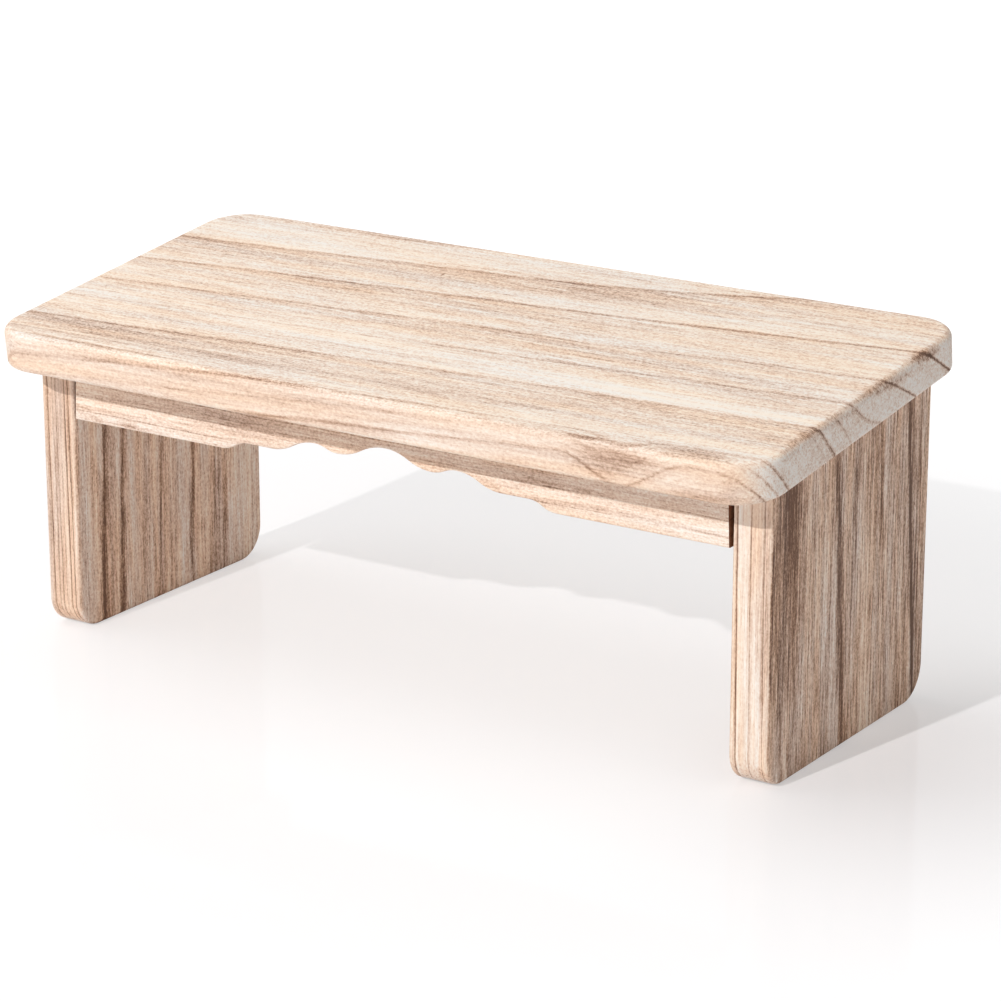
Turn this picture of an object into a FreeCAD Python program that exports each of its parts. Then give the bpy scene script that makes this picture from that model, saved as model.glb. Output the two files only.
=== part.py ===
import FreeCAD, Part

import math
import os
import re

import Sketcher

# A folding meditation bench: a sloping seat board on two plank legs, with a scalloped
# board across the front. Each leg turns inwards on two butt hinges and lies flat under
# the seat. Millimetres, +X along the seat, +Y to the back, +Z up. The origin is on the
# floor under the middle of the bench.

# Driving sizes. The seat's slope is in degrees.
SIZES = (
    # Seat board
    ("seat_length", 450, "end to end"),
    ("seat_depth", 208, "front to back, along the slope"),
    ("seat_thickness", 20.5, "board thickness"),
    ("seat_slope", 6.5, "fall towards the front"),
    ("seat_height", 145.5, "floor to the front edge of the underside"),
    ("seat_corner", 24, "corner radius in plan"),
    ("seat_top_round", 4, "radius round the top edge"),
    ("seat_bottom_round", 3, "radius round the bottom edge"),
    # Legs
    ("leg_thickness", 21, "plank thickness"),
    ("leg_width", 157.5, "front to back"),
    ("leg_setback", 29, "seat's front edge to the front of a leg"),
    ("leg_overhang", 9.5, "seat end beyond a leg's outer face"),
    ("leg_arris", 2, "radius along the leg's edges"),
    ("foot_front_round", 15.5, "radius at the toe"),
    ("foot_back_round", 18, "radius at the heel"),
    # Apron, whose lower edge is an arch between two lobes, a small arch and a step
    ("apron_thickness", 15, "board thickness"),
    ("apron_drop", 33, "depth of the straight ends below the seat, on the front face"),
    ("apron_end_gap", 1.5, "apron end to leg, at the bottom"),
    ("apron_end_taper", 1.3, "extra gap at the top of the end"),
    ("apron_arris", 1, "radius along the lower edge"),
    ("arch_height", 16, "middle arch above the straight ends"),
    ("lobe_height", 8.6, "lobe above the straight ends"),
    ("lobe_place", 28, "middle to the lobe"),
    ("notch_height", 11.7, "small arch above the straight ends"),
    ("notch_place", 42, "middle to the small arch"),
    ("step_height", 4.7, "step above the straight ends"),
    ("step_start", 68, "middle to the step's inner end"),
    ("step_end", 83, "middle to the step's outer end"),
    ("straight_start", 99, "middle to the straight end"),
    # Dowels between apron and seat
    ("dowel_radius", 4, "dowel radius"),
    ("dowel_in_seat", 12, "length in the seat"),
    ("dowel_in_apron", 15, "length in the apron"),
    ("dowel_near", 72, "middle to the inner dowels"),
    ("dowel_far", 152, "middle to the outer dowels"),
    ("dowel_chamfer", 0.8, "chamfer on the ends"),
    # Cleats under the seat, which carry the hinges
    ("cleat_width", 24, "along the seat"),
    ("cleat_back_gap", 13, "cleat's back end to the back of the leg"),
    ("cleat_chamfer", 1.5, "chamfer along the bottom"),
    # Butt hinges
    ("leaf_length", 38, "along the pin"),
    ("leaf_width", 16, "hinge line to the leaf's edge"),
    ("leaf_gauge", 1.5, "sheet thickness"),
    ("leaf_corner", 2, "radius of the leaf's outer corners"),
    ("knuckles", 5, "knuckles of both leaves together"),
    ("hinge_margin", 15, "hinge to the end of its cleat"),
    ("pin_radius", 2, "hinge pin radius"),
    ("pin_head", 0.8, "pin beyond the knuckles"),
    ("leaf_screw_place", 10, "hinge line to the screws"),
    ("leaf_screw_spread", 23, "between the two screws of a leaf"),
    # Countersunk wood screws
    ("leaf_screw_radius", 1.4, "shank of the hinge screws"),
    ("leaf_screw_head", 2.8, "head radius of the hinge screws"),
    ("leaf_screw_length", 13, "hinge screws, overall"),
    ("cleat_screw_radius", 2, "shank of the cleat screws"),
    ("cleat_screw_head", 4, "head radius of the cleat screws"),
    ("cleat_screw_length", 38, "cleat screws, overall"),
    ("cleat_screw_sink", 1, "heads below the cleat's face"),
    ("point_length", 2, "a screw's point, in shank radii"),
    ("point_end", 0.1, "radius at the tip of a point, in shank radii"),
    ("recess_length", 1.2, "a head's crossed recess, in head radii"),
    ("recess_width", 0.25, "width of the recess, in head radii"),
    ("recess_depth", 0.3, "depth of the recess, in head radii"),
    # Magnets that hold the legs open
    ("magnet_radius", 5, "disc magnet radius"),
    ("magnet_thickness", 3, "disc magnet thickness"),
    ("magnet_place", 13, "below the seat's underside"),
    ("strike_radius", 6, "steel disc radius"),
    ("strike_thickness", 1.5, "steel disc thickness"),
    ("disc_chamfer", 0.3, "chamfer round both discs"),
    # Clearances
    ("moving_gap", 0.3, "between pieces that move past each other"),
    ("pin_play", 0.05, "pin to knuckle, on the radius"),
    ("fit_gap", 0.1, "screws, dowels and discs in their holes, on the radius"),
    ("hole_end_gap", 0.5, "beyond the end of a dowel or screw"),
)

# Places that follow from the sizes. Heights and depths of the upright pieces are
# measured straight up. Depths below the seat are measured square to its underside.
PLACES = (
    ("leg_inner", "seat_length / 2 - leg_overhang - leg_thickness"),
    ("leg_back", "leg_setback + leg_width"),
    ("apron_back", "leg_setback + apron_thickness"),
    ("apron_front_top", "seat_height + leg_setback * tan(seat_slope)"),
    ("apron_back_top", "seat_height + apron_back * tan(seat_slope)"),
    ("apron_bottom", "apron_front_top - apron_drop"),
    ("apron_half", "leg_inner - apron_end_gap"),
    ("apron_reach", "(apron_back_top - apron_bottom) * cos(seat_slope)"),
    ("barrel_radius", "pin_radius + pin_play + leaf_gauge"),
    # A folding leg's face passes the apron's lower corner with the moving gap to spare
    ("axis_inset", "barrel_radius + moving_gap"),
    ("apron_past_axis", "sqrt(barrel_radius ^ 2 - (axis_inset - apron_end_gap) ^ 2)"),
    ("axis_depth", "apron_reach - apron_past_axis"),
    ("axis_place", "leg_inner - axis_inset"),
    ("cleat_height", "axis_depth - axis_inset"),
    ("cleat_outer", "leg_inner - moving_gap"),
    ("cleat_centre", "cleat_outer - cleat_width / 2"),
    ("cleat_front", "apron_back / cos(seat_slope) + fit_gap"),
    ("cleat_back", "leg_back / cos(seat_slope) - cleat_back_gap"),
    ("cleat_length", "cleat_back - cleat_front"),
    ("cleat_middle", "(cleat_front + cleat_back) / 2"),
    ("hinge_place", "cleat_length / 2 - hinge_margin - leaf_length / 2"),
    ("knuckle_pitch", "leaf_length / knuckles"),
    ("cleat_screw_place", "(cleat_length - hinge_margin) / 2"),
    ("dowel_middle", "(leg_setback + apron_thickness / 2"
     " - dowel_in_apron / 2 * sin(seat_slope)) / cos(seat_slope)"),
    # Front and back of the whole bench, where the rounded seat edges reach furthest
    ("bench_front", "seat_top_round * cos(seat_slope)"
     " - (seat_thickness - seat_top_round) * sin(seat_slope) - seat_top_round"),
    ("bench_back", "(seat_depth - seat_bottom_round) * cos(seat_slope)"
     " - seat_bottom_round * sin(seat_slope) + seat_bottom_round"),
    ("bench_middle", "(bench_front + bench_back) / 2"),
)

SIDES = {"left": -1, "right": 1}
ENDS = {"front": -1, "rear": 1}
ALONG_X = FreeCAD.Rotation(FreeCAD.Vector(0, 1, 0), 90)
ALONG_Y = FreeCAD.Rotation(FreeCAD.Vector(1, 0, 0), -90)
UPWARDS = FreeCAD.Rotation()
TINY = 1e-4

doc = FreeCAD.newDocument("meditation_bench")
sheet = doc.addObject("Spreadsheet::Sheet", "Sizes")


def fill_sheet():
    """Put each size in the sheet as plain text, then the places as formulas."""
    row = 1
    for name, size, meaning in SIZES:
        sheet.set(f"A{row}", name)
        sheet.set(f"B{row}", str(size))
        sheet.setAlias(f"B{row}", name)
        sheet.set(f"C{row}", meaning)
        row += 1
    for name, formula in PLACES:
        sheet.set(f"A{row}", name)
        sheet.set(f"B{row}", "=" + formula)
        sheet.setAlias(f"B{row}", name)
        row += 1
    doc.recompute()


def linked(formula):
    """The same formula as an object outside the sheet writes it."""
    names = {name for name, *_ in SIZES + PLACES}
    return re.sub("[a-z_]+",
                  lambda word: "Sizes." + word[0] if word[0] in names else word[0], formula)


def value(formula):
    """A formula's present value as a number."""
    return float(sheet.evalExpression(linked(formula)))


def bind(thing, **formulas):
    """Tie properties to formulas of the sizes."""
    for name, formula in formulas.items():
        thing.setExpression(name, linked(formula))


def bind_place(thing, x="0", y="0", z="0"):
    """Tie an object's place to formulas of the sizes."""
    for axis, formula in zip("xyz", (x, y, z)):
        thing.setExpression(f"Placement.Base.{axis}", linked(formula))


# Frames


def new_body(label):
    """An empty body with its own label."""
    body = doc.addObject("PartDesign::Body", label)
    body.Label = label
    body.AllowCompound = True
    return body


def stand_upright(body, x="0"):
    """Give the body the upright frame: Y from the seat's front edge, Z from the floor."""
    bind_place(body, x, "-bench_middle", "0")


def lay_on_slope(body):
    """Give the body the seat's frame: Y up the slope, Z square to the underside."""
    body.Placement.Rotation = FreeCAD.Rotation(FreeCAD.Vector(1, 0, 0), 1)
    body.setExpression("Placement.Rotation.Angle", linked("seat_slope"))
    bind_place(body, "0", "-bench_middle", "seat_height")


def lay_at_side(body, side):
    """Give the body one cleat's frame: X outwards, Y along the cleat, Z square to the seat.

    The origin is on the seat's underside, level with the middle of the cleat. Each
    piece in this frame is alike front to back, so the left side is the right side
    turned half round.
    """
    turn = 0 if side > 0 else 180
    place = ("placement(vector(0; cleat_middle * cos(seat_slope) - bench_middle;"
             " seat_height + cleat_middle * sin(seat_slope));"
             f" rotationx(seat_slope) * rotationz({turn}))")
    body.setExpression("Placement", linked(place))


def from_slope(along, below):
    """Upright Y and Z of a point along the slope and below the seat's underside."""
    y = f"({along}) * cos(seat_slope) + ({below}) * sin(seat_slope)"
    z = f"seat_height + ({along}) * sin(seat_slope) - ({below}) * cos(seat_slope)"
    return y, z


# Features


def add_box(body, size, corner, kind="Additive"):
    """A box in the body, from its lowest corner."""
    box = body.newObject(f"PartDesign::{kind}Box", "box")
    bind(box, Length=size[0], Width=size[1], Height=size[2])
    bind_place(box, *corner)
    return box


def add_cylinder(body, radius, length, start, turn=UPWARDS, kind="Additive"):
    """A cylinder in the body, from the middle of its first end."""
    cylinder = body.newObject(f"PartDesign::{kind}Cylinder", "cylinder")
    cylinder.Placement.Rotation = turn
    bind(cylinder, Radius=radius, Height=length)
    bind_place(cylinder, *start)
    return cylinder


def add_cone(body, radii, length, start, turn=UPWARDS, kind="Additive"):
    """A cone in the body, from the middle of its first end."""
    cone = body.newObject(f"PartDesign::{kind}Cone", "cone")
    cone.Placement.Rotation = turn
    bind(cone, Radius1=radii[0], Radius2=radii[1], Height=length)
    bind_place(cone, *start)
    return cone


def bore(body, radius, length, start, turn=UPWARDS):
    """Drill a round hole, and make sure that it cuts something."""
    before = solid_volume(body)
    hole = add_cylinder(body, radius, length, start, turn, "Subtractive")
    expect_less(body, before)
    return hole


def solid_volume(body):
    """The body's volume so far."""
    doc.recompute()
    return body.Shape.Volume


def expect_less(body, before):
    """Stop if the last cut took nothing away."""
    if solid_volume(body) > before - TINY:
        raise ValueError(f"{body.Label}: a cut takes nothing away")


def round_edges(body, radius, chosen, kind="Fillet"):
    """Round or chamfer the edges for which chosen(edge) is true."""
    doc.recompute()
    base = body.Tip
    names = [f"Edge{number}" for number, edge in enumerate(base.Shape.Edges, start=1)
             if chosen(edge)]
    if not names:
        raise ValueError(f"{body.Label}: no edge to round")
    edges = body.newObject(f"PartDesign::{kind}", "edges")
    edges.Base = (base, names)
    bind(edges, **{"Radius" if kind == "Fillet" else "Size": radius})
    return edges


def new_sketch(body, plane, name):
    """A sketch on one of the body's own origin planes."""
    sketch = body.newObject("Sketcher::SketchObject", name)
    support = next(item for item in body.Origin.OriginFeatures if item.Role == plane)
    sketch.AttachmentSupport = [(support, "")]
    sketch.MapMode = "FlatFace"
    return sketch


def side_between(start, end, bulge, radius):
    """A straight side, or an arc that bulges to the left (1) or right (-1) of its way."""
    if not bulge:
        return Part.LineSegment(start, end)
    way = end - start
    half = way.Length / 2
    across = FreeCAD.Vector(-way.y, way.x, 0).normalize()
    centre = (start + end) / 2 - across * (bulge * math.sqrt(radius ** 2 - half ** 2))
    low, high = (end, start) if bulge > 0 else (start, end)
    first, last = (math.atan2(point.y - centre.y, point.x - centre.x) for point in (low, high))
    if last < first:
        last += 2 * math.pi
    circle = Part.Circle(centre, FreeCAD.Vector(0, 0, 1), radius)
    return Part.ArcOfCircle(circle, first, last)


def draw_outline(sketch, corners, arcs=None):
    """Draw a closed outline whose corners and arc radii are formulas.

    arcs gives, by the number of the side, which way it bulges and its radius.
    """
    arcs = arcs or {}
    points = [FreeCAD.Vector(value(x), value(y), 0) for x, y in corners]
    starts = []
    ends = []
    for number, start in enumerate(points):
        end = points[(number + 1) % len(points)]
        bulge, radius = arcs.get(number, (0, "0"))
        side = side_between(start, end, bulge, value(radius))
        index = sketch.addGeometry(side, False)
        forwards = sketch.Geometry[index].StartPoint.distanceToPoint(start) < TINY
        starts.append((index, 1 if forwards else 2))
        ends.append((index, 2 if forwards else 1))
    for number, (x, y) in enumerate(corners):
        index, point = starts[number]
        sketch.addConstraint(Sketcher.Constraint("Coincident", *ends[number - 1], index, point))
        for kind, formula in (("DistanceX", x), ("DistanceY", y)):
            tie_constraint(sketch, (kind, -1, 1, index, point), formula)
        if number in arcs:
            tie_constraint(sketch, ("Radius", index), arcs[number][1])


def tie_constraint(sketch, terms, formula):
    """Add a constraint whose value is a formula."""
    number = sketch.addConstraint(Sketcher.Constraint(*terms, value(formula)))
    sketch.setExpression(f"Constraints[{number}]", linked(formula))


def flat_across(edge, axis):
    """Whether an edge keeps one value along an axis."""
    return getattr(edge.BoundBox, axis + "Length") < TINY


# Wooden boards


def make_seat():
    """The seat board, with the holes for its dowels and the cleats' screws."""
    body = new_body("seat_board")
    lay_on_slope(body)
    plan = new_sketch(body, "XY_Plane", "seat_plan")
    left, right = "-seat_length / 2", "seat_length / 2"
    draw_outline(plan, [(left, "0"), (right, "0"), (right, "seat_depth"), (left, "seat_depth")])
    board = body.newObject("PartDesign::Pad", "board")
    board.Profile = plan
    bind(board, Length="seat_thickness")
    round_edges(body, "seat_corner", lambda edge: flat_across(edge, "X") and flat_across(edge, "Y"))
    top = value("seat_thickness")
    round_edges(body, "seat_top_round", lambda edge: edge.BoundBox.ZMin > top - TINY)
    round_edges(body, "seat_bottom_round", lambda edge: edge.BoundBox.ZMax < TINY)
    for place in dowel_places():
        bore(body, "dowel_radius + fit_gap", "dowel_in_seat + hole_end_gap",
             (place, "dowel_middle", "0"))
    for side in SIDES.values():
        for step in (-1, 0, 1):
            bore(body, "cleat_screw_radius + fit_gap",
                 "cleat_screw_sink + cleat_screw_length - cleat_height + hole_end_gap",
                 (f"{side} * cleat_centre", f"cleat_middle + {step} * cleat_screw_place", "0"))
    return body


def make_leg(name, side):
    """A plank leg, with the holes for its hinge screws and its steel disc."""
    body = new_body(name)
    stand_upright(body, f"{side} * leg_inner")
    profile = new_sketch(body, "YZ_Plane", "leg_profile")
    draw_outline(profile, [
        ("leg_setback", "0"),
        ("leg_back", "0"),
        ("leg_back", "seat_height + leg_back * tan(seat_slope) - moving_gap / cos(seat_slope)"),
        ("leg_setback",
         "seat_height + leg_setback * tan(seat_slope) - moving_gap / cos(seat_slope)"),
    ])
    plank = body.newObject("PartDesign::Pad", "plank")
    plank.Profile = profile
    plank.Reversed = side < 0
    bind(plank, Length="leg_thickness")
    for radius, place in (("foot_front_round", "leg_setback"), ("foot_back_round", "leg_back")):
        corner = FreeCAD.Vector(0, value(place), 0)
        round_edges(body, radius, lambda edge: all(
            math.hypot(vertex.Y - corner.y, vertex.Z) < TINY for vertex in edge.Vertexes))
    below_top = value("seat_height")
    round_edges(body, "leg_arris", lambda edge: flat_across(edge, "X")
                and edge.BoundBox.ZMin < below_top)
    inwards = FreeCAD.Rotation(FreeCAD.Vector(0, 1, 0), 90 * side)
    bore(body, "strike_radius + fit_gap", "strike_thickness",
         ("0", *from_slope("cleat_middle", "magnet_place")), inwards)
    for end in ENDS.values():
        for step in (-1, 1):
            along = f"cleat_middle + {end} * hinge_place + {step} * leaf_screw_spread / 2"
            bore(body, "leaf_screw_radius + fit_gap",
                 "leaf_screw_length - leaf_gauge + hole_end_gap",
                 ("0", *from_slope(along, "axis_depth + leaf_screw_place")), inwards)
    return body


def scallop():
    """The right half of the scalloped cut, as corners and arcs.

    Between level points the edge is two equal arcs that meet halfway.
    """
    levels = [
        ("0", "arch_height"),
        ("lobe_place", "lobe_height"),
        ("notch_place", "notch_height"),
        ("step_start", "step_height"),
        ("step_end", "step_height"),
        ("straight_start", "0"),
    ]
    low = "apron_bottom - apron_drop"
    corners = [("0", low), ("0", "apron_bottom + arch_height")]
    arcs = {}
    for (x0, y0), (x1, y1) in zip(levels, levels[1:]):
        if y0 != y1:
            falls = value(y0) > value(y1)
            radius = f"(({x1} - {x0}) ^ 2 + ({y1} - {y0}) ^ 2) / (4 * abs({y1} - {y0}))"
            start = len(corners) - 1
            corners.append((f"({x0} + {x1}) / 2", f"apron_bottom + ({y0} + {y1}) / 2"))
            arcs[start] = (1 if falls else -1, radius)
            arcs[start + 1] = (-1 if falls else 1, radius)
        corners.append((x1, f"apron_bottom + {y1}"))
    corners.append(("straight_start", low))
    return corners, arcs


def make_apron():
    """The front board: sawn to the slope on top, scalloped below and tapered at its ends."""
    body = new_body("front_apron")
    stand_upright(body)
    section = new_sketch(body, "YZ_Plane", "apron_section")
    draw_outline(section, [
        ("leg_setback", "apron_bottom"),
        ("apron_back", "apron_bottom"),
        ("apron_back", "apron_back_top"),
        ("leg_setback", "apron_front_top"),
    ])
    board = body.newObject("PartDesign::Pad", "board")
    board.Profile = section
    board.Midplane = True
    bind(board, Length="2 * apron_half")
    before = solid_volume(body)
    cut = new_sketch(body, "XZ_Plane", "scallop")
    draw_outline(cut, *scallop())
    draw_outline(cut, [
        ("apron_half", "apron_bottom"),
        ("apron_half + apron_end_gap", "apron_bottom"),
        ("apron_half + apron_end_gap", "apron_back_top"),
        ("apron_half - apron_end_taper", "apron_back_top"),
    ])
    sawn = body.newObject("PartDesign::Pocket", "sawn")
    sawn.Profile = cut
    sawn.Type = "ThroughAll"
    expect_less(body, before)
    before = solid_volume(body)
    both_ends = body.newObject("PartDesign::Mirrored", "both_ends")
    both_ends.Originals = [sawn]
    both_ends.MirrorPlane = (next(item for item in body.Origin.OriginFeatures
                                  if item.Role == "YZ_Plane"), [""])
    body.Tip = both_ends
    expect_less(body, before)
    top = value("apron_front_top") - value("apron_arris")
    round_edges(body, "apron_arris", lambda edge: flat_across(edge, "Y")
                and edge.BoundBox.ZMax < top)
    for place in dowel_places():
        hole = bore(body, "dowel_radius + fit_gap", "dowel_in_apron + hole_end_gap",
                    (place, *from_slope("dowel_middle", "dowel_in_apron + hole_end_gap")),
                    FreeCAD.Rotation(FreeCAD.Vector(1, 0, 0), 1))
        hole.setExpression("Placement.Rotation.Angle", linked("seat_slope"))
    return body


def make_cleat(name, side):
    """A block under the seat that brings the hinge line down below the apron."""
    body = new_body(name)
    lay_at_side(body, side)
    add_box(body, ("cleat_width", "cleat_length", "cleat_height"),
            ("cleat_outer - cleat_width", "-cleat_length / 2", "-cleat_height"))
    low = -value("cleat_height")
    round_edges(body, "cleat_chamfer", lambda edge: edge.BoundBox.ZMax < low + TINY
                and not is_hinge_edge(edge), "Chamfer")
    for step in (-1, 0, 1):
        place = f"{step} * cleat_screw_place"
        screw_hole(body, "cleat_screw", "cleat_screw_sink",
                   ("cleat_centre", place, "-cleat_height"), "cleat_height")
    for end in ENDS.values():
        for step in (-1, 1):
            bore(body, "leaf_screw_radius + fit_gap",
                 "leaf_screw_length - leaf_gauge + hole_end_gap",
                 ("axis_place - leaf_screw_place",
                  f"{end} * hinge_place + {step} * leaf_screw_spread / 2", "-cleat_height"))
    bore(body, "magnet_radius + fit_gap", "magnet_thickness",
         ("cleat_outer - magnet_thickness", "0", "-magnet_place"), ALONG_X)
    return body


def is_hinge_edge(edge):
    """Whether an edge is the cleat's lower outer one, which stays square for the hinges."""
    return edge.BoundBox.XMin > value("cleat_outer") - TINY


# Hardware


def dowel_places():
    """Places of the dowels along the seat."""
    return ["-dowel_far", "-dowel_near", "dowel_near", "dowel_far"]


def make_dowels():
    """Four dowels with chamfered ends."""
    body = new_body("apron_dowels")
    lay_on_slope(body)
    for place in dowel_places():
        add_cylinder(body, "dowel_radius", "dowel_in_apron + dowel_in_seat",
                     (place, "dowel_middle", "-dowel_in_apron"))
    round_edges(body, "dowel_chamfer", lambda edge: flat_across(edge, "Z"), "Chamfer")
    return body


def screw_hole(body, kind, sink, start, length):
    """A countersunk hole upwards from a face, for a screw of this kind."""
    x, y, z = start
    head = f"{kind}_head + fit_gap"
    shank = f"{kind}_radius + fit_gap"
    if sink != "0":
        bore(body, head, sink, start)
    before = solid_volume(body)
    add_cone(body, (head, shank), f"{kind}_head - {kind}_radius", (x, y, f"{z} + {sink}"),
             kind="Subtractive")
    expect_less(body, before)
    bore(body, shank, length, start)


def add_screw(body, kind, start, turn=UPWARDS):
    """A countersunk screw with a crossed recess, from the middle of its head."""
    head = f"{kind}_head"
    shank = f"{kind}_radius"
    countersink = f"({head} - {shank})"
    point = f"point_length * {shank}"
    slot_width = f"recess_width * {head}"
    slot_length = f"recess_length * {head}"
    along = turn.multVec(FreeCAD.Vector(0, 0, 1))

    def moved(distance):
        """A place along the screw."""
        return [f"{place} + {axis:.0f} * ({distance})" for place, axis in zip(start, along)]

    add_cone(body, (head, shank), countersink, start, turn)
    add_cylinder(body, shank, f"{kind}_length - {countersink} - {point}",
                 moved(countersink), turn)
    add_cone(body, (shank, f"point_end * {shank}"), point,
             moved(f"{kind}_length - {point}"), turn)
    for wide, deep in ((slot_length, slot_width), (slot_width, slot_length)):
        slot = body.newObject("PartDesign::SubtractiveBox", "slot")
        slot.Placement.Rotation = turn
        bind(slot, Length=wide, Width=deep, Height=f"recess_depth * {head}")
        offset = turn.multVec(FreeCAD.Vector(1, 0, 0))
        corner = [f"{place} - ({wide}) / 2 * {first:.0f} - ({deep}) / 2 * {second}"
                  for place, first, second in zip(start, offset, (0, 1, 0))]
        bind_place(slot, *corner)


def make_cleat_screws(name, side):
    """The three screws that hold a cleat to the seat."""
    body = new_body(name)
    lay_at_side(body, side)
    for step in (-1, 0, 1):
        add_screw(body, "cleat_screw", ("cleat_centre", f"{step} * cleat_screw_place",
                                        "cleat_screw_sink - cleat_height"))
    return body


def make_leaf_screws(name, side, on_leg):
    """The four screws of one side's leaves, in the cleat or in the leg."""
    body = new_body(name)
    lay_at_side(body, side)
    for end in ENDS.values():
        for step in (-1, 1):
            along = f"{end} * hinge_place + {step} * leaf_screw_spread / 2"
            if on_leg:
                add_screw(body, "leaf_screw", ("leg_inner - leaf_gauge", along,
                                               "-axis_depth - leaf_screw_place"), ALONG_X)
            else:
                add_screw(body, "leaf_screw", ("axis_place - leaf_screw_place", along,
                                               "-cleat_height - leaf_gauge"))
    return body


def knuckle_start(end, number):
    """Where a knuckle begins along the cleat."""
    return (f"{end} * hinge_place - leaf_length / 2 + {number} * knuckle_pitch"
            " + moving_gap / 2")


def make_leaf(name, side, end, on_leg):
    """One leaf of a hinge: a plate, its tabs, the knuckles they roll into and the screw holes."""
    body = new_body(name)
    lay_at_side(body, side)
    start = f"{end} * hinge_place - leaf_length / 2 + moving_gap / 2"
    length = "leaf_length - moving_gap"
    plate = "leaf_width - axis_inset"
    if on_leg:
        add_box(body, ("leaf_gauge", length, plate),
                ("leg_inner - leaf_gauge", start, "-axis_depth - leaf_width"))
    else:
        add_box(body, (plate, length, "leaf_gauge"),
                ("axis_place - leaf_width", start, "-cleat_height - leaf_gauge"))
    round_edges(body, "leaf_corner", lambda edge: is_leaf_corner(edge, on_leg))
    knuckle = "knuckle_pitch - moving_gap"
    for number in range(1 if on_leg else 0, round(value("knuckles")), 2):
        place = knuckle_start(end, number)
        if on_leg:
            add_box(body, ("leaf_gauge", knuckle, "axis_inset"),
                    ("leg_inner - leaf_gauge", place, "-axis_depth - axis_inset"))
        else:
            add_box(body, ("axis_inset", knuckle, "leaf_gauge"),
                    ("axis_place - axis_inset", place, "-cleat_height - leaf_gauge"))
        add_cylinder(body, "barrel_radius", knuckle,
                     ("axis_place", place, "-axis_depth"), ALONG_Y)
    bore(body, "pin_radius + pin_play", "leaf_length",
         ("axis_place", f"{end} * hinge_place - leaf_length / 2", "-axis_depth"), ALONG_Y)
    for step in (-1, 1):
        along = f"{end} * hinge_place + {step} * leaf_screw_spread / 2"
        if on_leg:
            leaf_hole(body, ("leg_inner - leaf_gauge", along, "-axis_depth - leaf_screw_place"),
                      ALONG_X)
        else:
            leaf_hole(body, ("axis_place - leaf_screw_place", along,
                             "-cleat_height - leaf_gauge"), UPWARDS)
    return body


def is_leaf_corner(edge, on_leg):
    """Whether an edge is an outer corner of the plate, away from the hinge line."""
    if on_leg:
        far = edge.BoundBox.ZMax < value("-axis_depth - leaf_width") + TINY
        return far and flat_across(edge, "Y")
    far = edge.BoundBox.XMax < value("axis_place - leaf_width") + TINY
    return far and flat_across(edge, "Y")


def leaf_hole(body, start, turn):
    """A countersunk hole through a leaf."""
    head = "leaf_screw_head + fit_gap"
    shank = "leaf_screw_radius + fit_gap"
    before = solid_volume(body)
    add_cone(body, (head, shank), "leaf_screw_head - leaf_screw_radius", start, turn,
             "Subtractive")
    expect_less(body, before)
    bore(body, shank, "leaf_gauge", start, turn)


def make_pin(name, side, end):
    """A hinge pin with rounded ends."""
    body = new_body(name)
    lay_at_side(body, side)
    add_cylinder(body, "pin_radius", "leaf_length + 2 * pin_head",
                 ("axis_place", f"{end} * hinge_place - leaf_length / 2 - pin_head",
                  "-axis_depth"), ALONG_Y)
    round_edges(body, "pin_head", lambda edge: flat_across(edge, "Y"))
    return body


def make_disc(name, side, kind, start):
    """A flat disc whose axis is along the seat."""
    body = new_body(name)
    lay_at_side(body, side)
    add_cylinder(body, f"{kind}_radius", f"{kind}_thickness", (start, "0", "-magnet_place"),
                 ALONG_X)
    round_edges(body, "disc_chamfer", lambda edge: flat_across(edge, "X"), "Chamfer")
    return body


def make_side(name, side):
    """Every piece of one side of the bench."""
    nodes = [
        make_cleat(f"{name}_cleat", side),
        make_cleat_screws(f"{name}_cleat_screws", side),
        make_leg(f"{name}_leg", side),
        make_leaf_screws(f"{name}_cleat_leaf_screws", side, False),
        make_leaf_screws(f"{name}_leg_leaf_screws", side, True),
        make_disc(f"{name}_cleat_magnet", side, "magnet", "cleat_outer - magnet_thickness"),
        make_disc(f"{name}_leg_strike", side, "strike", "leg_inner"),
    ]
    for end_name, end in ENDS.items():
        # The left side's frame is turned half round, so its front and rear change places
        place = end * side
        hinge = f"{name}_{end_name}_hinge"
        nodes.append(make_leaf(f"{hinge}_cleat_leaf", side, place, False))
        nodes.append(make_leaf(f"{hinge}_leg_leaf", side, place, True))
        nodes.append(make_pin(f"{hinge}_pin", side, place))
    return nodes


# Checks and export


def check_document():
    """Stop if any object failed."""
    doc.recompute()
    for item in doc.Objects:
        if "Invalid" in item.State or "Error" in item.State:
            raise ValueError(f"{item.Label} failed: {item.State}")


def export_nodes(nodes):
    """Write each node's shape to its own file."""
    os.makedirs("parts", exist_ok=True)
    for node in nodes:
        shape = node.Shape
        if shape.isNull() or not shape.isValid() or not shape.Solids:
            raise ValueError(f"{node.Label} has no valid solid")
        shape.exportStep(f"parts/{node.Label}.step")
        print(f"{node.Label}: {len(shape.Solids)} solids, {shape.Volume / 1000:.2f} cm3")


fill_sheet()
bench = [make_seat(), make_apron(), make_dowels()]
for side_name, side_sign in SIDES.items():
    bench += make_side(side_name, side_sign)
check_document()
export_nodes(bench)
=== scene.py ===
# %% [markdown]
# # A folding kneeling bench in bare, pale wood
# The real bench is three boards that you see and a handful of brass that you
# don't: a sloping seat, a scalloped apron under its front edge and two legs
# that fold inwards on hinges. The boards are already drawn to size, so this
# lesson is about what makes them look like wood: rings, fibres, pores, worn
# edges and the light that rakes over them.
#
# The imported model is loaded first. Every node keeps its shape and its place.

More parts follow.
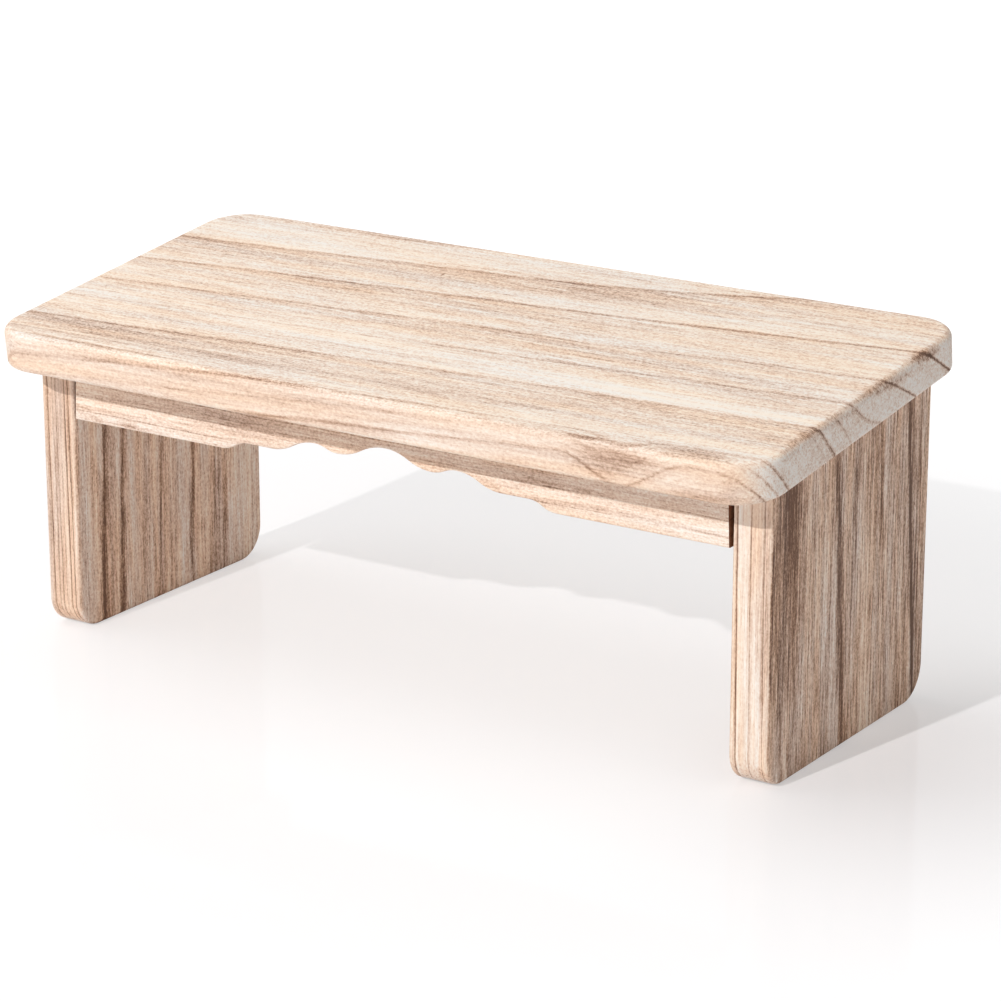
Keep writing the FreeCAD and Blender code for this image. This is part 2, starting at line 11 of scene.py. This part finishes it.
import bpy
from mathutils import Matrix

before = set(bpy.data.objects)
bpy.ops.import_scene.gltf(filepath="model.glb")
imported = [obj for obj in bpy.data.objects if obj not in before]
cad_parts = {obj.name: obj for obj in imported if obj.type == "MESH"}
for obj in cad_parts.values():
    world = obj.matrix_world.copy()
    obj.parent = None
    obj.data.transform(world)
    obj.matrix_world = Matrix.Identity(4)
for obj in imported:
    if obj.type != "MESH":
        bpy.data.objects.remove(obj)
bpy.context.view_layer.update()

# %% The other modules, and a clean selection
import math

import bpy
from mathutils import Vector

bpy.ops.object.select_all(action="DESELECT")

# %% [markdown]
# ## The camera
# The photograph was taken from well back with a long lens, which keeps the
# far edge of the seat nearly as long as the near one. A short lens close up
# would frame the bench as well, but its legs would splay. The place and the
# lens below were fitted to the straight edges of the boards.

# %% Camera
CAMERA_PLACE = Vector((0.96721, -1.44489, 0.63434))
CAMERA_TURN = 0.58037        # radians from the back towards the left
CAMERA_DIP = 0.30542         # radians below the horizon
SENSOR = 36.0
PICTURE = 1001               # pixels along each side
FOCAL_PIXELS = 3613.17

camera_data = bpy.data.cameras.new("camera")
camera_data.sensor_width = SENSOR
camera_data.lens = FOCAL_PIXELS / PICTURE * SENSOR
camera_data.clip_start = 0.05
camera = bpy.data.objects.new("camera", camera_data)
bpy.context.scene.collection.objects.link(camera)
gaze = Vector((-math.sin(CAMERA_TURN) * math.cos(CAMERA_DIP),
               math.cos(CAMERA_TURN) * math.cos(CAMERA_DIP),
               -math.sin(CAMERA_DIP)))
camera.location = CAMERA_PLACE
camera.rotation_euler = gaze.to_track_quat("-Z", "Y").to_euler()
bpy.context.scene.camera = camera
print("lens in mm:", round(camera_data.lens, 1))

# %% [markdown]
# ## Arithmetic on sockets
# A material is a graph of nodes, and most of them are sums and products. Wired
# by hand they fill the screen; here a small class wraps one output socket, so
# that `rings * 0.5 + fibres` adds the Math nodes by itself. Every other kind of
# node comes from its `node` method.

# %% A socket that can be added and multiplied
class Value:
    def __init__(self, tree, socket):
        self.tree = tree
        self.socket = socket

    def node(self, kind, settings={}, inputs={}, output=0):
        made = self.tree.nodes.new("ShaderNode" + kind)
        for name, setting in settings.items():
            if name == "stops":
                self.set_stops(made.color_ramp.elements, setting)
            else:
                setattr(made, name, setting)
        for name, given in inputs.items():
            if isinstance(given, Value):
                self.tree.links.new(given.socket, made.inputs[name])
            else:
                made.inputs[name].default_value = given
        return Value(self.tree, made.outputs[output])

    @staticmethod
    def set_stops(elements, stops):
        while len(elements) > 1:
            elements.remove(elements[-1])
        for index, (place, colour) in enumerate(stops):
            element = elements[0] if index == 0 else elements.new(place)
            element.position = place
            element.color = colour if len(colour) == 4 else (*colour, 1)

    def maths(self, operation, *terms):
        return self.node("Math", {"operation": operation}, dict(enumerate(terms)))

    def __add__(self, other):
        return self.maths("ADD", self, other)

    def __sub__(self, other):
        return self.maths("SUBTRACT", self, other)

    def __rsub__(self, other):
        return self.maths("SUBTRACT", other, self)

    def __mul__(self, other):
        return self.maths("MULTIPLY", self, other)

    def __truediv__(self, other):
        return self.maths("DIVIDE", self, other)

    def __pow__(self, other):
        return self.maths("POWER", self, other)

    __radd__ = __add__
    __rmul__ = __mul__

    def between(self, low, high):
        """0 below low, 1 above high, smooth from one to the other."""
        return self.node("MapRange", {"interpolation_type": "SMOOTHSTEP"},
                         {"Value": self, "From Min": low, "From Max": high})

    def shift(self, vector):
        """This place, moved by a vector of numbers or sockets."""
        return self.node("VectorMath", {"operation": "ADD"}, {0: self, 1: vector})

    def stretch(self, along, up, out):
        """This place, with its three coordinates scaled."""
        return self.node("VectorMath", {"operation": "MULTIPLY"},
                         {0: self, 1: (along, up, out)})

    def noise(self, scale, detail=2.0, roughness=0.5, output="Fac"):
        return self.node("TexNoise", {}, {"Vector": self, "Scale": scale, "Detail": detail,
                                          "Roughness": roughness}, output)

    def mixed(self, first, second):
        """Two colours, mixed by this value."""
        return self.node("Mix", {"data_type": "RGBA"}, {0: self, 6: first, 7: second}, 2)

    def times(self, colour):
        """This colour, multiplied by another one."""
        return self.node("VectorMath", {"operation": "MULTIPLY"}, {0: self, 1: colour})

    def length(self):
        """How far this place is from the origin."""
        return self.node("VectorMath", {"operation": "LENGTH"}, {0: self}, "Value")

    def away_from(self, number):
        """The distance between this value and a number."""
        return (self - number).maths("ABSOLUTE", self - number)

    def show(self, kind):
        """Make this shader the one that a material or a world shows."""
        last = self.tree.nodes.new("ShaderNodeOutput" + kind)
        self.tree.links.new(self.socket, last.inputs["Surface"])


print("values can be added, taken away, multiplied, divided and raised")


# %% [markdown]
# ## A new finish
# Every finish ends in one Principled shader. What is the same all over the
# surface, such as the strength of the sheen, is typed on the shader itself;
# only what changes from place to place is linked to it. Places are read in
# millimetres from the object's own coordinates, so the pattern stays on the
# board when a leg folds.

# %% Start and close a finish
def new_finish(name):
    finish = bpy.data.materials.new(name)
    finish.use_nodes = True
    tree = finish.node_tree
    tree.nodes.clear()
    start = Value(tree, None)
    metres = start.node("TexCoord", output="Object")
    return finish, start, metres.node("VectorMath", {"operation": "SCALE"},
                                      {0: metres, "Scale": 1000.0})


def close_finish(start, varying, constant):
    """The shader and the output; varying values are links, constants are numbers."""
    start.node("BsdfPrincipled", {}, {**constant, **varying}, "BSDF").show("Material")


def raised(start, height, depth, strength=1.0):
    """A normal from a height between 0 and 1, depth metres high."""
    return start.node("Bump", {}, {"Strength": strength, "Distance": depth,
                                   "Height": height}, "Normal")


def wear_finish(node_names, finish):
    for name in node_names:
        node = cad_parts[name]
        for slot in node.material_slots:
            slot.material = finish
        if not node.material_slots:
            node.data.materials.append(finish)


print("nodes to finish:", len(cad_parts))

# %% [markdown]
# ## How wood is made of rings
# A board is a slice of a round trunk. Its pattern is the same inside and out:
# rings around the pith, fibres along it. A flat picture wrapped around the
# board would show the same lines on its end as on its face, which real boards
# never do. So the rings are computed in space: each point's distance from the
# pith picks its tone from a ramp, and the end of the board shows arcs of the
# very rings that run along its face.
#
# This wood is fast grown and very pale. A ring is a thin brown line with a tan
# band on one side that fades into nearly white wood. The ramp keeps the two
# apart, the line in red and the band in green, because the lines break up
# along the board and the bands don't.

# %% Rings as the stops of a ramp
def ring_ramp(rings, first, last):
    """Stops for rings given as (distance, half width, line, band, reach of the band)."""
    stops = []
    for distance, width, line, band, fade in rings:
        side = 1 if fade >= 0 else -1
        stops += [(distance - side * width, 0, 0), (distance, line, band)]
        stops += [(distance + side * width, 0, band)] if band else []
        stops += [(distance + side * max(abs(fade), width), 0, 0)]
    placed = [((place - first) / (last - first), (line, band, 0)) for place, line, band in sorted(stops)]
    return [stop for stop in placed if 0 <= stop[0] <= 1]


print("stops for two rings:", len(ring_ramp([(10, 1, 1, 0.5, 5), (20, 1, 1, 0.5, 5)], 0, 30)))

# %% [markdown]
# ## Fibres, pores and blotches
# Between its rings the wood is never even. Fibres draw fine streaks along the
# grain, pores are short dark dashes, and the tan stain comes and goes over a
# hand's width. All of them are the same noise texture, stretched along the
# grain by different amounts. Single marks, such as a knot's flame, a bruise or
# a dark heart streak, are soft spots at a place of their own.

# %% Noise along the grain, and soft spots
def turned(grain, seed, along, across, detail=2.0, roughness=0.5, output="Fac"):
    """Noise stretched along the grain, features per millimetre."""
    stretched = grain.stretch(along, across, across)
    return stretched.shift((seed, seed * 0.7, 3)).noise(1.0, detail, roughness, output)


def centred(noise, along, across):
    return noise.shift((-0.5, -0.5, -0.5)).stretch(along, across, across)


def spot(place, middle, reach, soft=0.25):
    """1 inside an egg around the middle, fading to 0 at its reach along X, Y and Z."""
    away = place.shift([-c for c in middle]).stretch(*(1 / r for r in reach))
    return 1 - away.length().between(soft, 1.0)


def part_of(place, axis):
    return place.node("SeparateXYZ", {}, {"Vector": place}, axis)


def round_the_pith(bent):
    """Distance from a pith that runs along X."""
    return bent.stretch(0, 1, 1).length()


def facing(normal, axis):
    """1 where the surface faces along the axis or straight against it, 0 where it runs beside it."""
    dot = normal.node("VectorMath", {"operation": "DOT_PRODUCT"}, {0: normal, 1: axis}, "Value")
    return dot.maths("ABSOLUTE", dot)


print("helpers:", [helper.__name__ for helper in (turned, centred, spot, part_of, facing)])

# %% [markdown]
# ## One wood for every board
# The tone of a point is a sum: the board's base, its fibres, its rings and its
# marks. The sum picks a colour from one palette, so every board of the bench
# is clearly cut from the same kind of tree. One more noise then leans the
# colour towards honey here and towards grey there. A sawn end drinks more oil
# and dirt than a face, so it is greyer, and its edges turn brown. Where the
# surface points is read from the object's normal.

# %% The palette and the finish
WOOD_TONES = [(0.00, (0.95, 0.875, 0.785)),
              (0.22, (0.88, 0.738, 0.615)),
              (0.42, (0.76, 0.565, 0.44)),
              (0.62, (0.53, 0.350, 0.25)),
              (0.82, (0.30, 0.178, 0.118)),
              (1.00, (0.15, 0.083, 0.055))]
GREYISH = (0.97, 1.0, 1.04, 1)
HONEYED = (1.03, 0.97, 0.90, 1)
HUE_SWING = 3.0
FIBRE_TONE, THREAD_TONE, GROWTH_TONE, BLOTCH_TONE = 0.9, 0.65, 0.35, 0.35
PORE_TONE, PORE_TONE_IN_BANDS, ARRIS_TONE = 0.12, 0.4, 0.10
SATIN, DULLER_WHEN_DARK, DULLER_AT_END = 0.52, 0.22, 0.1     # roughness
GRAIN_DEPTH = 0.00018                                        # metres


def wood(name, turn, pith, rings, reach, seed, base=0.24, warp=9.0, ripple=0.8, fibre=1.0, fleck=1.0,
         fine=1.15, lean=(0, 0), whole=0.35, end_axis=(1, 0, 0), end_tint_and_gap_shade=(0.95, 0.98, 1.02),
         end_tone=0.04, end_line=0.0, wide_axis=(0, 0, 1), wide_grain_and_shade=0.0, honey=1.0,
         ring_at=round_the_pith, marks=()):
    """A finish of rings around a pith that runs along the turned X axis.

    The rings bend by warp and ripple millimetres and lean along the board. A share, whole, of
    each line never breaks. fibre and fleck are the strength of the streaks and the specks, fine
    is the streaks per millimetre. The end_ values belong to the sawn end, and the end tint can
    also paint shade into a narrow gap there. wide darkens the faces along wide_axis, partly for
    their grain and partly as painted shade, honey moves the hue, and a mark is a middle, a spread
    and a tone to add; some marks are painted shadow.
    """
    finish, start, place = new_finish(name)
    grain = place.node("Mapping", {"vector_type": "TEXTURE"},
                       {"Vector": place, "Location": pith, "Rotation": turn})
    along = part_of(grain, "X")
    leaning = along.node("CombineXYZ", {}, {"Y": along * lean[0], "Z": along * lean[1]})
    wander = centred(turned(grain, seed, 0.005, 0.012, 1.0, 0.5, "Color"), 0, warp)
    waves = centred(turned(grain, seed + 4, 0.03, 0.12, 2.0, 0.5, "Color"), 0, ripple)
    distance = ring_at(grain.shift(leaning).shift(wander).shift(waves))
    first, last = reach
    where = (distance - first) / (last - first)
    ring = where.node("ValToRGB", {"stops": ring_ramp(rings, first, last)}, {"Fac": where})
    lines = ring.node("SeparateColor", {}, {"Color": ring}, "Red")
    bands = ring.node("SeparateColor", {}, {"Color": ring}, "Green")

    growth = grain.node("CombineXYZ", {}, {"X": distance, "Y": seed})
    growth = growth.shift(grain.stretch(0.0025, 0.03, 0.03)).noise(0.55, 3.0, 0.65)
    fibres = turned(grain, seed + 1, 0.06, fine, 3.0, 0.65)
    threads = turned(grain, seed + 2, 0.016, fine * 0.37, 2.0, 0.55)
    speckle = turned(grain, seed + 3, 0.7, 1.1, 2.0, 0.6)
    blotches = turned(grain, seed + 5, 0.006, 0.03, 2.0, 0.55)
    breaks = turned(grain, seed + 6, 0.02, 0.05, 1.0, 0.5).between(0.30, 0.62)
    pores = turned(grain, seed + 8, 0.22, 1.9, 1.0, 0.4).between(0.60, 0.72)

    normal = start.node("TexCoord", output="Normal")
    ending = facing(normal, end_axis)
    end = ending.between(0.55, 0.95)
    arris = ending.between(0.12, 0.5) * (1 - ending.between(0.6, 0.97))
    faced = facing(normal, wide_axis).between(0.5, 0.95)

    streaks = (fibres - 0.5) * FIBRE_TONE + (threads - 0.5) * THREAD_TONE
    tone = (streaks * fibre + (speckle - 0.5) * fleck) * (faced * 0.5 + end * 0.4 + 0.5)
    tone = tone + (growth - 0.5) * (GROWTH_TONE * fibre) + (blotches - 0.5) * BLOTCH_TONE
    # the wide faces are darker here, partly for their grain and partly as painted shade
    tone = tone + base + faced * wide_grain_and_shade + bands * (blotches + 0.5)
    tone = tone + lines * (breaks * (1 - whole) + whole) * (end * end_line + 1)
    tone = tone + pores * (bands * PORE_TONE_IN_BANDS + PORE_TONE) + arris * ARRIS_TONE + end * end_tone
    for middle, spread, amount in marks:
        tone = tone + spot(place, middle, spread) * (threads + 0.5) * amount
    colour = tone.node("ValToRGB", {"stops": WOOD_TONES}, {"Fac": tone})
    hue = (turned(grain, seed + 9, 0.008, 0.11, 2.0, 0.5) - 0.5) * (HUE_SWING * honey) + 0.5
    hue = hue.maths("MAXIMUM", hue.maths("MINIMUM", hue, 1.0), 0.0).mixed(GREYISH, HONEYED)
    colour = end.mixed(colour.times(hue), colour.times(end_tint_and_gap_shade))
    height = 0.5 - (fibres - 0.5) * 0.5 - pores * 0.5 - (speckle - 0.5) * 0.3
    close_finish(start,
                 {"Base Color": colour,
                  "Roughness": SATIN + tone * DULLER_WHEN_DARK + end * DULLER_AT_END,
                  "Normal": raised(start, height, GRAIN_DEPTH, 0.5)},
                 {"Specular IOR Level": 0.32})
    return finish


print("tones of the wood:", len(WOOD_TONES))

# %% [markdown]
# ## The seat
# The seat's rings cross the top as long lines that fan out a little from left
# to right, and its right end shows them as slanting arcs that lean to the
# back. Rings that wide belong to a trunk too big and too bent for one circle,
# so their number comes from a formula in the seat's own frame: along X, depth
# from the front edge and height above the underside. Each line's place is set
# on its own, because a regular spacing reads as a printed pattern at once.

# %% Wood of the seat
SLOPE = math.radians(6.5)
SEAT_THICK = 20.5            # mm
FRONT_EDGE = -102.2245       # mm, Y where the seat's underside meets its front
UNDERSIDE = 145.5            # mm, Z of the same line


def seat_place(along, depth, height):
    """Millimetres on the seat (from its middle, its front edge and its underside) to the model's."""
    return (along,
            depth * math.cos(SLOPE) - height * math.sin(SLOPE) + FRONT_EDGE,
            UNDERSIDE + depth * math.sin(SLOPE) + height * math.cos(SLOPE))


def seat_ring_at(bent):
    """Depth at which a point's ring crosses the middle of the top."""
    along, depth, height = (part_of(bent, axis) for axis in "XYZ")
    depth = depth - (SEAT_THICK - height) * (depth.between(85, 125) * 0.8 + 0.7)     # slanting arcs
    ring = (depth - along * 0.0457) / (along * 0.000287 + 1)                         # the fan
    curl = along ** 2 * 0.00013 + along.maths("MAXIMUM", along, 0.0) ** 2 * 0.00064  # last ring only
    flame = 1 - along.away_from(152).between(0, 34)                                  # front edge only
    return ring - ring.between(150, 182) * curl + flame * (1 - depth.between(0, 14)) * 9


SEAT_RINGS = [(-11.0, 0.8, 0.34, 0.0, 1), (-5.0, 0.7, 0.26, 0.0, 1), (3.0, 1.1, 0.40, 0.0, 1),
              (43.6, 1.6, 0.26, 0.19, -36), (58.5, 1.4, 0.16, 0.0, 1), (74.2, 1.5, 0.26, 0.06, -9),
              (104.1, 1.7, 0.32, 0.10, -18), (141.1, 1.9, 0.40, 0.14, -22),
              (176.0, 1.7, 0.32, 0.22, -26)]
SEAT_MARKS = [(seat_place(-112, 207, 20), (80, 12, 20), 0.24),    # stain at the back edge
              (seat_place(70, 172, 20), (90, 16, 30), 0.12),      # brown under the last ring
              (seat_place(180, 185, 20), (90, 30, 30), 0.06),
              (seat_place(20, 122, 20), (230, 16, 40), 0.07),
              (seat_place(60, 96, 20), (200, 12, 40), 0.05),
              (seat_place(-130, 180, 20), (120, 20, 30), -0.05),  # pale back corner
              (seat_place(130, 62, 20), (150, 12, 30), -0.19),    # white streak by the pink zone
              (seat_place(-60, 66, 20), (120, 13, 30), -0.15),
              (seat_place(-110, 19, 20), (90, 4, 20), 0.12),
              (seat_place(148, 1, 12), (34, 12, 11), 0.22),       # flame on the front edge
              (seat_place(196, 3, 3), (36, 9, 5), 0.16),
              (seat_place(131, 3, 21), (14, 2.2, 3), 0.36),       # bruises by the front right corner
              (seat_place(190, 8, 21), (26, 6, 4), 0.32),
              (seat_place(206, 5, 19), (2.2, 2.2, 2.2), 0.5),
              (seat_place(-53.5, 162.5, 20.5), (1.4, 3.2, 2), 0.4),
              (seat_place(-150, 5.5, 20.5), (78, 1.4, 3), 0.3),   # line along the front arris
              (seat_place(0, -4, 8), (900, 10, 40), 0.15),        # darker front edge
              (seat_place(160, -4, 8), (130, 10, 40), 0.05),
              (seat_place(225, 122, 18), (6, 50, 4.5), 0.26),     # dirt along the right end
              (seat_place(223, 164, 18), (6, 20, 4), 0.42),       # brown along the right arris
              (seat_place(223, 60, 19), (5, 60, 3.5), 0.2)]
seat_wood = wood("seat_wood", (SLOPE, 0, 0), seat_place(0, 0, 0), SEAT_RINGS, (-30, 240), seed=2.0,
                 base=0.185, warp=6.0, ripple=0.9, fibre=0.95, fleck=1.25, whole=0.7, end_line=1.1,
                 end_tone=-0.05, ring_at=seat_ring_at, marks=SEAT_MARKS)
wear_finish(["seat_board"], seat_wood)
print("rings in the seat:", len(SEAT_RINGS), "marks:", len(SEAT_MARKS))

# %% Wood of the apron
APRON_RINGS = [(206, 0.5, 0.30, 0.06, 5), (213, 0.5, 0.34, 0.08, 6), (221, 0.5, 0.28, 0.05, 7),
               (229, 0.5, 0.3, 0.08, 6), (238, 0.5, 0.28, 0.05, 7), (247, 0.5, 0.3, 0.08, 6)]
APRON_MARKS_AND_SHADOW = [((-158, -73, 118.5), (9, 12, 3), 0.22),
               ((0, -74, 141), (280, 14, 22), 0.20),              # browner top strip: painted shadow of the seat, with a brown streak
               # painted shadow of the seat on the left part too, with its brown streak
               ((-110, -74, 142), (110, 14, 20), 0.14)]
# The apron's dark brown end tint is partly its end grain and partly painted shade of the narrow gap
# between its ends and the legs.
apron_wood = wood("apron_wood", (0, 0, math.radians(1.2)), (0, -40, -90), APRON_RINGS, (195, 260),
                  seed=11.0, base=0.21, fibre=0.85, fleck=0.9, honey=0.8, end_tint_and_gap_shade=(0.34, 0.18, 0.11),
                  wide_axis=(0, 1, 0), marks=APRON_MARKS_AND_SHADOW)
wear_finish(["front_apron"], apron_wood)
print("rings in the apron:", len(APRON_RINGS))

# %% [markdown]
# ## The legs
# A leg's grain stands upright. Both legs come from the outside of a big trunk,
# where the rings are nearly flat: they show as fine lines on the narrow front
# edge and as a few broad, dark stripes on the wide faces. The trunk leaned, so
# the stripes do too.

# %% Wood of the legs
UPRIGHT = (0, math.radians(-90), 0)


def leg_place(along, depth, height):
    return (along, depth + FRONT_EDGE, height)


RIGHT_LEG_RINGS = [(483.0, 0.4, 0.42, 0.10, 3.5), (490.2, 0.55, 0.34, 0.08, -4),
                   (497.2, 0.55, 0.62, 0.14, 5), (505.0, 0.65, 0.46, 0.18, 6)]
RIGHT_LEG_MARKS = [(leg_place(215, 48, 142), (30, 15, 56), 0.36),     # dark heart streak
                   (leg_place(215, 40, 90), (12, 30, 95), 0.14),      # browner front third
                   (leg_place(215, 148, 100), (22, 17, 70), -0.08),   # pale between two rings
                   (leg_place(215, 111, 142), (20, 5, 30), 0.22),
                   (leg_place(215, 66, 25), (22, 26, 36), -0.05)]
# The wide faces of the legs are darker, partly for their grain and partly as painted shade.
right_leg_wood = wood("right_leg_wood", UPRIGHT, (695, -63.2, 75), RIGHT_LEG_RINGS, (470, 520),
                      seed=5.0, base=0.20, warp=1.6, ripple=0.3, fibre=1.85, fleck=0.9, fine=1.7,
                      lean=(0.085, 0.0), whole=0.75, end_axis=(0, 0, 1), wide_axis=(1, 0, 0),
                      wide_grain_and_shade=0.28, honey=1.5, marks=RIGHT_LEG_MARKS)
wear_finish(["right_leg"], right_leg_wood)
LEFT_LEG_RINGS = [(1202.8, 0.35, 0.40, 0.22, 1.85), (1205.1, 0.4, 0.62, 0.0, 1),
                  (1208.2, 0.25, 0.22, 0.0, 1), (1210.8, 0.3, 0.34, 0.12, 1.6),
                  (1212.7, 0.25, 0.22, 0.0, 1), (1216.2, 0.7, 0.46, 0.10, 3.2),
                  (1222.5, 0.5, 0.30, 0.0, 1), (1232.0, 0.6, 0.46, 0.14, -4),
                  (1238.5, 0.5, 0.36, 0.10, 4)]
LEFT_LEG_MARKS = [(leg_place(-195, 145, 30), (18, 14, 70), 0.22),      # brown patch inside
                  (leg_place(-205, 27, 75), (30, 9, 150), 0.20)]       # browner front edge
# The left leg's wide faces get the same darker tone, partly grain and partly painted shade.
left_leg_wood = wood("left_leg_wood", UPRIGHT, (995, -229.2, 75), LEFT_LEG_RINGS, (1195, 1245),
                     seed=9.0, base=0.22, warp=0.9, ripple=0.2, fibre=1.3,
                     lean=(-0.048, 0.0), whole=0.75, end_axis=(0, 0, 1), wide_axis=(1, 0, 0),
                     wide_grain_and_shade=0.12, honey=1.5, marks=LEFT_LEG_MARKS)
wear_finish(["left_leg"], left_leg_wood)
print("rings in the legs:", len(RIGHT_LEG_RINGS), len(LEFT_LEG_RINGS))

# %% Wood of the cleats and dowels
CLEAT_RINGS = [(60, 0.6, 0.4, 0.2, 5), (69, 0.6, 0.45, 0.2, 6), (78, 0.6, 0.4, 0.15, 6),
               (88, 0.6, 0.45, 0.2, 6)]
cleat_wood = wood("cleat_wood", (0, 0, math.radians(90)), (0, 0, 70), CLEAT_RINGS, (50, 260), seed=14.0,
                  end_axis=(0, 1, 0))
wear_finish(["left_cleat", "right_cleat"], cleat_wood)
dowel_wood = wood("dowel_wood", (0, math.radians(-90), 0), (0, 0, 0), CLEAT_RINGS, (50, 260), seed=19.0,
                  base=0.34, end_axis=(0, 0, 1))
wear_finish(["apron_dowels"], dowel_wood)
print("finished boards:", 6)


# %% [markdown]
# ## Brass and steel
# The hardware is small, but its brushed lines still decide how it glints. The
# lines are noise, stretched along the leaf, that changes the roughness and
# raises a hair of bump; a little tarnish darkens the brass in patches.

# %% Metal finishes
def metal(name, colour, tarnish, roughness, stretch, patches=0.06):
    finish, start, place = new_finish(name)
    brushed = place.stretch(*stretch).noise(1.0, 2.0, 0.6)
    stains = place.stretch(patches, patches, patches).noise(1.0, 3.0, 0.6).between(0.35, 0.75)
    tint = (stains * 0.5 + (brushed - 0.5) * 0.4).mixed((*colour, 1), (*tarnish, 1))
    close_finish(start,
                 {"Base Color": tint, "Roughness": roughness + (brushed - 0.5) * 0.25 + stains * 0.12,
                  "Normal": raised(start, brushed, 0.00003, 0.5)},
                 {"Metallic": 1.0})
    return finish


hinge_brass = metal("hinge_brass", (0.80, 0.60, 0.29), (0.52, 0.36, 0.16), 0.30, (6, 0.3, 6))
screw_brass = metal("screw_brass", (0.84, 0.66, 0.34), (0.58, 0.42, 0.20), 0.24, (3, 3, 3), 0.3)
screw_steel = metal("screw_steel", (0.66, 0.65, 0.61), (0.46, 0.44, 0.40), 0.30, (3, 3, 3), 0.3)
magnet_nickel = metal("magnet_nickel", (0.74, 0.72, 0.68), (0.60, 0.57, 0.52), 0.16, (2, 2, 2), 0.2)
strike_steel = metal("strike_steel", (0.60, 0.60, 0.59), (0.45, 0.44, 0.42), 0.34, (4, 0.4, 4), 0.2)
for word, finish in [("hinge", hinge_brass), ("leaf_screws", screw_brass),
                     ("cleat_screws", screw_steel), ("magnet", magnet_nickel),
                     ("strike", strike_steel)]:
    found = [name for name in sorted(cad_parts) if word in name]
    wear_finish(found, finish)
    print(word, "nodes:", len(found))

# %% [markdown]
# ## Floor
# The photograph's floor is white, a little glossy, and runs out of the picture
# on all sides. Its white comes from its own colour and from a share of plain
# white that only the camera sees, never from more light on the bench, so the
# bench keeps its shadow. The share is smallest by the right foot, where that
# shadow is deepest, and this paints extra shade into the floor there.

# %% Floor
FLOOR_RADIUS = 9.0
NEAR_SHARE, FOOT_SHADE = 0.47, 0.25       # plain white near the bench, and less of it by the foot
bpy.ops.mesh.primitive_circle_add(vertices=96, radius=FLOOR_RADIUS, fill_type="NGON", location=(0, 0, 0))
floor = bpy.context.active_object
floor.name = "floor"
floor_finish = bpy.data.materials.new("floor_white")
floor_finish.use_nodes = True
floor_finish.node_tree.nodes.clear()
ground = Value(floor_finish.node_tree, None)
seen = ground.node("LightPath", output="Is Camera Ray")
metres = ground.node("TexCoord", output="Object")
away = metres.length().between(0.25, 0.8)
# painted shade: less camera white around the right foot darkens the floor there
foot_painted_shade = spot(metres, (0.29, -0.02, 0), (0.17, 0.24, 1), 0.0)
matt = ground.node("BsdfDiffuse", {}, {"Color": (0.95, 0.92, 0.925, 1)}, "BSDF")
gloss = ground.node("BsdfAnisotropic", {}, {"Color": (1, 1, 1, 1), "Roughness": 0.06}, "BSDF")
shine = ground.node("Fresnel", {}, {"IOR": 1.5}) * 0.45
varnish = ground.node("MixShader", {}, {0: shine, 1: matt, 2: gloss}, "Shader")
white = ground.node("Emission", {}, {"Color": (1, 1, 1, 1), "Strength": 1.14}, "Emission")
share = NEAR_SHARE + away * (1 - NEAR_SHARE) - foot_painted_shade * FOOT_SHADE
ground.node("MixShader", {}, {0: seen * share, 1: varnish, 2: white}, "Shader").show("Material")
floor.data.materials.append(floor_finish)
bpy.ops.object.select_all(action="DESELECT")
print("floor radius in metres:", round(floor.dimensions.x / 2, 2))

# %% [markdown]
# ## Light
# One lamp stands a few metres in front, a little to the left, and throws the
# crisp shadow back over the floor. A wide soft box hangs above the left end, a
# weak one fills from the right, and a white room lights the rest. The levels
# are set so that a lit board shows about the colour that its finish has.

# %% Lamps and room
def area_lamp(name, place, aim, size, level):
    """A square lamp that lights a surface facing it, at aim, to the given level."""
    data = bpy.data.lights.new(name, "AREA")
    data.size = size
    reach = Vector(aim) - Vector(place)
    data.energy = math.pi ** 2 * reach.length_squared * level
    lamp = bpy.data.objects.new(name, data)
    bpy.context.scene.collection.objects.link(lamp)
    lamp.location = place
    lamp.rotation_euler = reach.to_track_quat("-Z", "Y").to_euler()
    return lamp


key_lamp = area_lamp("key_lamp", (-0.42, -3.36, 2.27), (0, 0, 0.1), 0.05, 0.55)
soft_box = area_lamp("soft_box", (-0.9, -0.2, 2.2), (0, 0, 0.1), 2.0, 0.41)
side_fill = area_lamp("side_fill", (2.6, 0.3, 1.0), (0.2, 0, 0.1), 1.6, 0.06)

ROOM_LEVEL = 0.31            # of the white that the camera sees
world = bpy.data.worlds.new("room")
bpy.context.scene.world = world
world.use_nodes = True
world.node_tree.nodes.clear()
room = Value(world.node_tree, None)
camera_ray, glossy_ray, clear_ray = (room.node("LightPath", output="Is " + kind + " Ray")
                                     for kind in ("Camera", "Glossy", "Transmission"))
shown = (camera_ray + glossy_ray + clear_ray).between(0.0, 1.0)
strength = ROOM_LEVEL + shown * (1 - ROOM_LEVEL)
room.node("Background", {}, {"Color": (1, 1, 1, 1), "Strength": strength}, "Background").show("World")
bpy.context.scene.view_settings.view_transform = "Standard"
print("lamps:", key_lamp.name, soft_box.name, side_fill.name)
